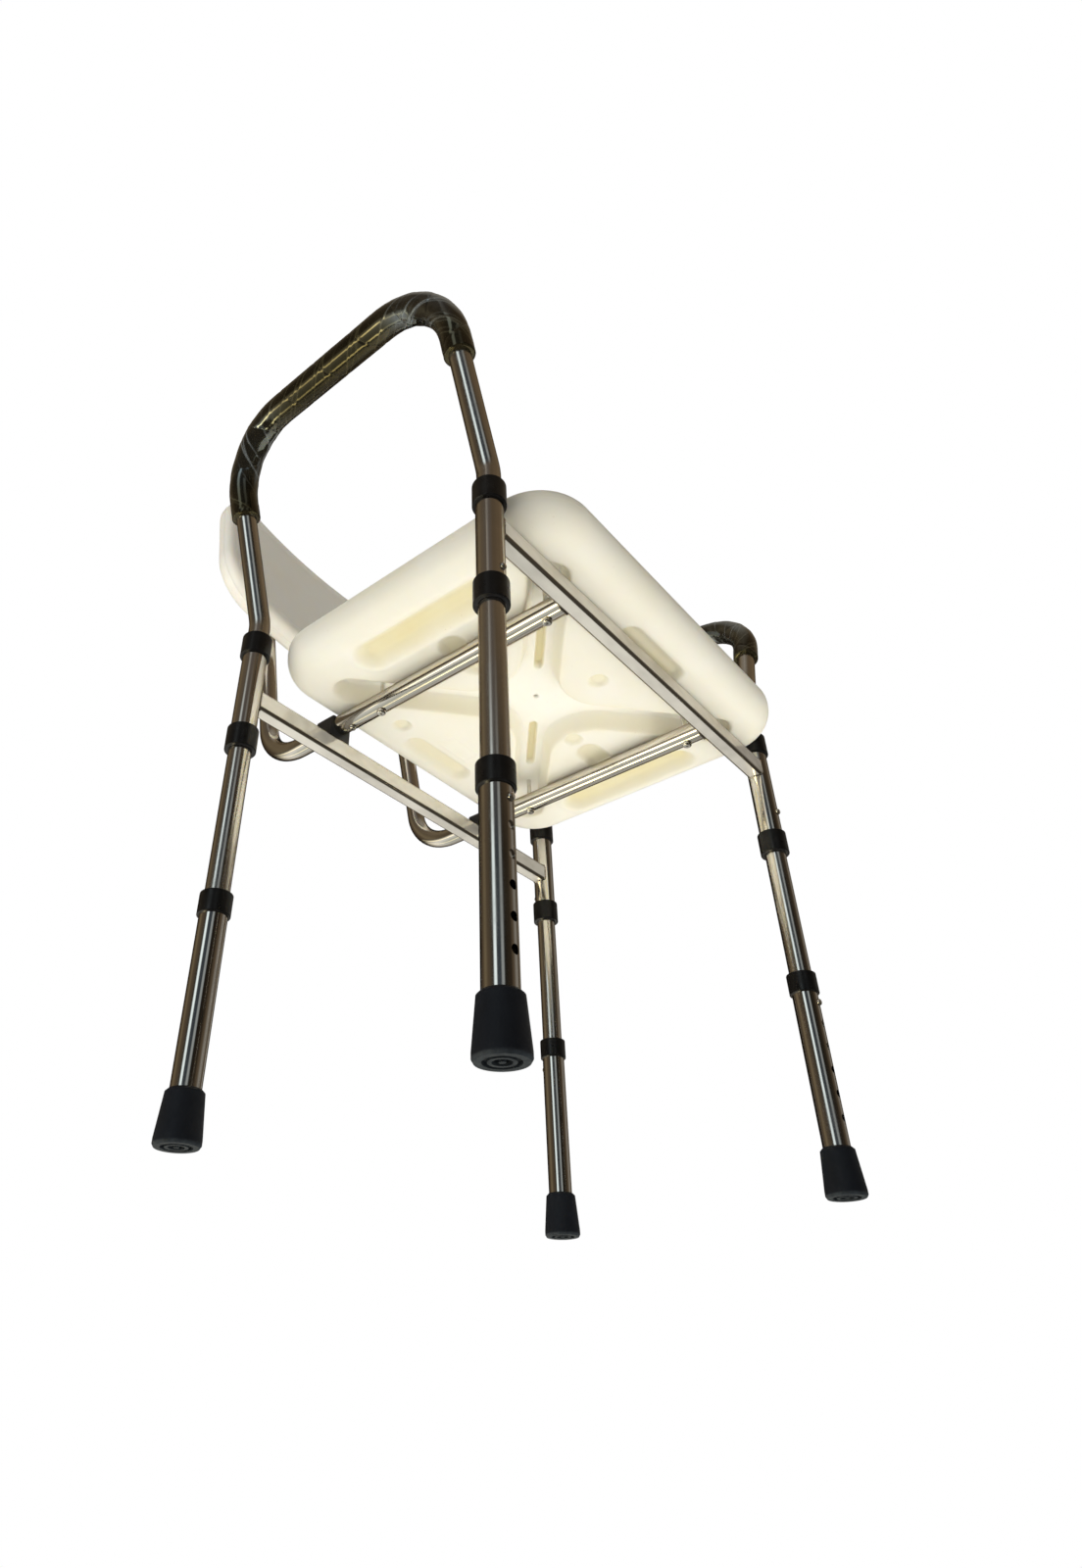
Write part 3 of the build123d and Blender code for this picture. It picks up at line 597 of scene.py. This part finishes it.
def build_grip(name, side):
    """The foam sleeve with the overlapping turns of the film wound round it."""
    ends = ((GRIP_START, -1), (ARM_RISE, -1), (ARM_RISE, 1), (GRIP_START, 1))
    corners = [arm_point(side, rise, end) for rise, end in ends]
    line = fillet_line(corners, ARM_CORNER_R, 0.0009)
    across, up = frames_along(line)
    step = np.r_[0.0, np.cumsum(np.linalg.norm(np.diff(line, axis=0), axis=1))]
    total = step[-1]
    around = 120
    angle = 2 * pi * np.arange(around) / around
    random = np.random.default_rng(7 if side < 0 else 11)
    s, a = np.meshgrid(step, angle, indexing="ij")
    lap = (s / 0.062 + side * a / (2 * pi)) % 1.0
    film = 0.00022 * smooth(lap / 0.10) * (1 - smooth((lap - 0.93) / 0.07))
    bend = np.exp(-(((s - 0.10) / 0.05) ** 2)) + np.exp(-(((s - total + 0.10) / 0.05) ** 2))
    wrinkle = np.zeros_like(s)
    for _ in range(70):
        where, length = random.uniform(0.0, total), random.uniform(0.01, 0.05)
        tilt = random.uniform(0.010, 0.030)
        turn, depth = random.uniform(0, 2 * pi), random.uniform(0.00008, 0.00028)
        off = (a - turn + pi) % (2 * pi) - pi
        slant = (s - where - side * tilt * off) / 0.0012
        wrinkle += depth * np.exp(-(slant**2) - (off / (length / GRIP_R)) ** 2)
    lump = 0.00025 * np.sin(9 * s / 0.1 + 2 * a) * bend + 0.0002 * np.sin(23 * s / 0.1 - 3 * a) * bend
    radius = GRIP_R - 0.0004 + film + wrinkle * (0.6 + bend) + lump
    rim = np.minimum(s, total - s)
    radius -= 0.0022 * (1 - np.sqrt(np.clip(1 - (1 - np.clip(rim / 0.0022, 0, 1)) ** 2, 0, 1)))
    spokes = np.cos(a)[:, :, None] * across[:, None, :] + np.sin(a)[:, :, None] * up[:, None, :]
    verts = line[:, None, :] + radius[:, :, None] * spokes
    rows = len(line)
    inner = INNER_R + 0.00002
    first, last = (line[k] + inner * (np.cos(angle)[:, None] * across[k] + np.sin(angle)[:, None] * up[k])
                   for k in (0, rows - 1))
    verts = np.concatenate([first[None], verts, last[None]]).reshape(-1, 3)
    faces = loft_faces(rows + 2, around)
    piece = add_mesh(f"{name}_grip_sleeve", verts, faces, MATERIALS["grip"], f"{name}_armrest")
    pad = lambda v: np.concatenate([v[:1], v, v[-1:]]).reshape(-1)
    put_attribute(piece, "wrap", pad(smooth(lap / 0.08)))
    # painted glints along the creases, stronger at the bends, and a thin painted glint at the rims
    painted_glint = smooth(wrinkle / 0.0002) * (0.35 + 0.65 * np.clip(bend, 0, 1))
    painted_glint += 0.12 * np.exp(-((rim / 0.0011) ** 2))
    put_attribute(piece, "painted_glint", pad(np.clip(painted_glint, 0, 1)))
    put_attribute(piece, "bend", pad(np.clip(1.6 * bend, 0, 1)))
    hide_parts(f"{name}_grip")


# ---- welds ----------------------------------------------------------------------------------
def bead(name, line, radius, body, seed):
    """A rippled weld bead along a closed line."""
    line = np.asarray(line, float)
    count = len(line)
    tangent = np.roll(line, -1, axis=0) - np.roll(line, 1, axis=0)
    tangent /= np.linalg.norm(tangent, axis=1)[:, None]
    centre = line.mean(axis=0)
    outward = line - centre
    outward -= tangent * np.sum(outward * tangent, axis=1)[:, None]
    outward /= np.linalg.norm(outward, axis=1)[:, None]
    over = np.cross(tangent, outward)
    random = np.random.default_rng(seed)
    ripple = 0.12 * np.sin(np.arange(count) * 2 * pi * 22 / count)
    size = radius * (1 + ripple + 0.06 * random.standard_normal(count))
    angle = 2 * pi * np.arange(12) / 12
    cosine, sine = np.cos(angle)[None, :, None], np.sin(angle)[None, :, None]
    verts = line[:, None, :] + size[:, None, None] * (cosine * outward[:, None, :] + sine * over[:, None, :])
    add_mesh(name, verts.reshape(-1, 3), loft_faces(count, 12, True), MATERIALS["weld"], body)


def build_welds():
    for end, bar in ((-1, "front_crossbar"), (1, "rear_crossbar")):
        low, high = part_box(bar)
        z = (low.z + high.z) / 2
        y = (low.y + high.y) / 2
        flat, _ = rounded_outline(BAR_DEPTH, BAR_HEIGHT, BAR_ROUND, 132)
        for name, side in SIDES.items():
            x = side * (POST_X - np.sqrt(OUTER_R**2 - flat[:, 0] ** 2))
            line = np.column_stack([x, y + flat[:, 0], z + flat[:, 1]])
            bead(f"{bar}_{name}_weld", line, 0.0013, "seat_frame", 5 + side + 3 * end)
    low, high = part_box("front_crossbar")
    for name, side in SIDES.items():
        turn = 2 * pi * np.arange(110) / 110
        x = side * RAIL_X + INNER_R * np.cos(turn)
        line = np.column_stack([x, np.full(110, high.y), RAIL_Z + INNER_R * np.sin(turn)])
        line[:, 2] = np.clip(line[:, 2], low.z + 0.0008, high.z - 0.0008)
        bead(f"{name}_rail_weld", line, 0.0012, "seat_frame", 20 + side)


# ---- stage, lights, camera ---------------------------------------------------------------------
FLOOR_HALF, FLOOR_Z = 6.0, -0.0004


def build_floor():
    """A pale floor that is seen from above only, because the photograph looks up from below it."""
    mesh = bpy.data.meshes.new("floor")
    corners = [(x * FLOOR_HALF, y * FLOOR_HALF, FLOOR_Z) for x, y in ((-1, -1), (1, -1), (1, 1), (-1, 1))]
    mesh.from_pydata(corners, [], [(0, 1, 2, 3)])
    n = Nodes("floor_paper")
    n.set(Base_Color=n.blend(n.noise(3.0), (0.90, 0.895, 0.88), (0.93, 0.925, 0.91)), Roughness=0.85)
    clear = n.add("ShaderNodeBsdfTransparent")
    far = n.add("ShaderNodeVectorMath", {0: n.place()}, operation="LENGTH").outputs["Value"]
    fade = {"Value": far, "From Min": 0.7, "From Max": 2.3}
    far = n.add("ShaderNodeMapRange", fade, interpolation_type="SMOOTHSTEP").outputs[0]
    facing = n.math("MAXIMUM", n.add("ShaderNodeNewGeometry").outputs["Backfacing"], far)
    mix = n.add("ShaderNodeMixShader", {0: facing, 1: n.shader.outputs[0], 2: clear.outputs[0]})
    n.tree.links.new(mix.outputs[0], n.tree.nodes["Material Output"].inputs[0])
    mesh.materials.append(n.material)
    floor = bpy.data.objects.new("floor", mesh)
    bpy.context.scene.collection.objects.link(floor)
    floor.visible_shadow = False
    floor.visible_glossy = False


def area_light(name, place, target, size, power, colour):
    """A square lamp that matt surfaces see, and gloss and the camera don't."""
    light = bpy.data.lights.new(name, "AREA")
    light.shape = "RECTANGLE"
    light.size, light.size_y = size, size
    light.energy, light.color = power, colour
    light.cycles.use_multiple_importance_sampling = False
    lamp = bpy.data.objects.new(name, light)
    bpy.context.scene.collection.objects.link(lamp)
    lamp.location = place
    lamp.rotation_euler = (Vector(target) - Vector(place)).to_track_quat("-Z", "Y").to_euler()
    lamp.visible_glossy = False
    lamp.visible_camera = False


# Name, place, target, side, power, colour.
LIGHTS = [
    ("key", (0.35, 0.85, 2.8), (0, 0, 0.6), 1.8, 66.0, (1.0, 0.985, 0.96)),
    ("from_below", (0.95, -0.8, -1.15), (0, -0.1, 0.5), 2.6, 27.0, (1.0, 0.985, 0.95)),
    ("from_left", (-1.6, 0.2, -1.0), (0, -0.1, 0.5), 2.4, 8.5, (1.0, 0.985, 0.95)),
    ("beside", (-2.0, 0.6, 0.8), (0, 0, 0.7), 1.4, 11.0, (0.97, 0.985, 1.0)),
]


def build_world():
    """White to the camera, soft neutral light to matt surfaces, a brown room with windows to gloss."""
    world = bpy.data.worlds.new("studio")
    bpy.context.scene.world = world
    world.use_nodes = True
    g = Graph(world.node_tree)
    g.tree.nodes.clear()

    def ramp(value, stops, mode="EASE"):
        node = g.add("ShaderNodeValToRGB", {0: value})
        node.color_ramp.interpolation = mode
        for position, colour in stops[1:-1]:
            node.color_ramp.elements.new(position)
        for element, (position, colour) in zip(node.color_ramp.elements, stops):
            element.position = position
        for element, (position, colour) in zip(node.color_ramp.elements, stops):
            element.color = (*colour, 1)
        return node.outputs[0]

    ray = g.add("ShaderNodeLightPath")
    way = g.add("ShaderNodeTexCoord").outputs["Generated"]
    x, y, z = g.add("ShaderNodeSeparateXYZ", {0: way}).outputs
    turned = g.math("SUBTRACT", g.math("ARCTAN2", y, x), radians(WINDOW_AZIMUTH))
    around = g.math("ADD", g.math("DIVIDE", turned, 2 * pi), 0.5)
    around = g.add("ShaderNodeMath", {0: around, 1: 1.0, 2: 0.0}, operation="WRAP").outputs[0]
    room = g.blend(g.span(z, 0.50, 0.64), ramp(around, LOW_ROOM), ramp(around, HIGH_ROOM))
    room = g.blend(g.span(z, 0.88, 0.99), room, CEILING)
    ground = ramp(g.math("MULTIPLY", z, -1.0), GROUND, "LINEAR")
    ground = g.blend(g.span(x, 0.38, 0.55, 0.0, 0.45), ground, (0.05, 0.045, 0.04))
    ground = g.blend(g.span(y, 0.22, 0.34), (0.05, 0.042, 0.03), ground)
    across = g.span(g.math("ARCTAN2", z, x), -pi, 0.0)
    beside = g.math("MULTIPLY", g.span(y, 0.10, 0.25), g.span(y, 0.42, 0.54, 1.0, 0.12))
    ground = g.blend(beside, ground, ramp(across, LAMPS, "LINEAR"), "ADD")
    room = g.blend(g.span(z, 0.0, -0.05), room, ground)
    soft = ramp(g.span(z, -1.0, 1.0), SOFT)
    colour = g.blend(ray.outputs["Is Glossy Ray"], soft, room)
    colour = g.blend(ray.outputs["Is Camera Ray"], colour, (1.0, 1.0, 1.0))
    shade = g.add("ShaderNodeBackground", {"Color": colour, "Strength": 1.0})
    g.tree.links.new(shade.outputs[0], g.add("ShaderNodeOutputWorld").inputs[0])


# What matt surfaces see, from straight down (0) to straight up (1), and what gloss sees overhead.
SOFT = [
    (0.0, (1.22, 1.2, 1.15)), (0.46, (0.55, 0.54, 0.53)), (0.60, (0.10, 0.1, 0.105)), (1.0, (0.30, 0.30, 0.30)),
]
CEILING = (0.34, 0.31, 0.26)
# What gloss sees below the horizon, from level (0) to straight down (1).
GROUND = [
    (0.0, (0.05, 0.04, 0.028)), (0.12, (0.16, 0.14, 0.10)), (0.24, (0.62, 0.58, 0.48)),
    (0.46, (0.95, 0.92, 0.84)), (0.57, (0.86, 0.85, 0.79)), (0.66, (0.72, 0.73, 0.67)),
    (0.80, (0.52, 0.53, 0.47)), (1.0, (0.4, 0.4, 0.35)),
]
# Long lamps under the chair, from level on the sitter's right (0), past straight down (0.5), to level on
# the left (1).
LAMPS = [
    (0.0, (0.0, 0.0, 0.0)), (0.09, (0.1, 0.095, 0.085)), (0.135, (0.5, 0.47, 0.35)),
    (0.152, (7.4, 6.5, 3.8)), (0.19, (7.4, 6.5, 3.8)), (0.208, (0.0, 0.0, 0.0)),
    (0.465, (0.0, 0.0, 0.0)), (0.482, (6.6, 5.8, 3.2)), (0.518, (6.6, 5.8, 3.2)),
    (0.535, (0.0, 0.0, 0.0)), (1.0, (0.0, 0.0, 0.0)),
]
# Azimuth bands of the room round the view's back direction: 0.5 is straight behind the camera.
WINDOW_AZIMUTH = -139.5
DARK, BROWN, TAN = (0.014, 0.012, 0.009), (0.095, 0.07, 0.044), (0.185, 0.145, 0.088)
WINDOW, PALE = (1.05, 1.2, 1.25), (0.34, 0.37, 0.38)
LOW_ROOM = [
    (0.0, DARK), (0.08, DARK), (0.17, BROWN), (0.235, TAN), (0.30, BROWN),
    (0.385, (0.05, 0.045, 0.035)), (0.408, WINDOW), (0.432, WINDOW), (0.452, (0.05, 0.06, 0.07)),
    (0.505, (0.04, 0.05, 0.06)), (0.528, PALE), (0.548, PALE), (0.572, DARK),
    (0.66, (0.03, 0.022, 0.014)), (0.72, BROWN), (0.80, (0.30, 0.28, 0.25)), (0.86, BROWN),
    (0.92, (0.5, 0.49, 0.46)), (0.95, BROWN), (1.0, DARK),
]
HIGH_ROOM = [
    (0.0, DARK), (0.10, (0.07, 0.052, 0.033)), (0.21, (0.20, 0.155, 0.095)),
    (0.31, (0.13, 0.10, 0.068)), (0.40, (0.11, 0.09, 0.07)), (0.415, (0.30, 0.27, 0.23)),
    (0.44, (0.22, 0.20, 0.18)), (0.47, (0.12, 0.10, 0.085)), (0.56, (0.11, 0.08, 0.05)),
    (0.68, (0.14, 0.10, 0.06)), (0.80, (0.215, 0.16, 0.098)), (0.9, (0.25, 0.22, 0.18)), (1.0, DARK),
]

# Camera fitted to the posts' known dimensions: place, heading and tilt, focal length and image centre.
CAMERA_PLACE = (-0.8040, -0.6660, -0.2093)
CAMERA_YAW, CAMERA_PITCH, CAMERA_ROLL = radians(49.536), radians(35.590), radians(0.137)
IMAGE_W, IMAGE_H, FOCAL_PX = 1104, 1600, 1007.0
CENTRE_X, CENTRE_Y = 468.8, 758.0
SENSOR = 36.0


def build_camera():
    ahead = cos(CAMERA_PITCH)
    forward = Vector((sin(CAMERA_YAW) * ahead, cos(CAMERA_YAW) * ahead, sin(CAMERA_PITCH)))
    right = Vector((cos(CAMERA_YAW), -sin(CAMERA_YAW), 0.0))
    up = right.cross(forward)
    c, s = cos(CAMERA_ROLL), sin(CAMERA_ROLL)
    right, up = c * right + s * up, -s * right + c * up
    data = bpy.data.cameras.new("view")
    data.sensor_width = SENSOR
    data.lens = SENSOR * FOCAL_PX / IMAGE_H
    data.shift_x = (IMAGE_W / 2 - CENTRE_X) / IMAGE_H
    data.shift_y = (CENTRE_Y - IMAGE_H / 2) / IMAGE_H
    data.clip_start = 0.02
    camera = bpy.data.objects.new("view", data)
    bpy.context.scene.collection.objects.link(camera)
    axes = [(right[i], up[i], -forward[i], CAMERA_PLACE[i]) for i in range(3)]
    camera.matrix_world = Matrix((*axes, (0, 0, 0, 1)))
    bpy.context.scene.camera = camera


build_camera()
build_world()
build_floor()
for light in LIGHTS:
    area_light(*light)
paint_cad()
build_seat()
build_panel()
for side_name, side_sign in SIDES.items():
    build_grip(side_name, side_sign)
build_welds()
bpy.context.scene.view_settings.view_transform = "Standard"
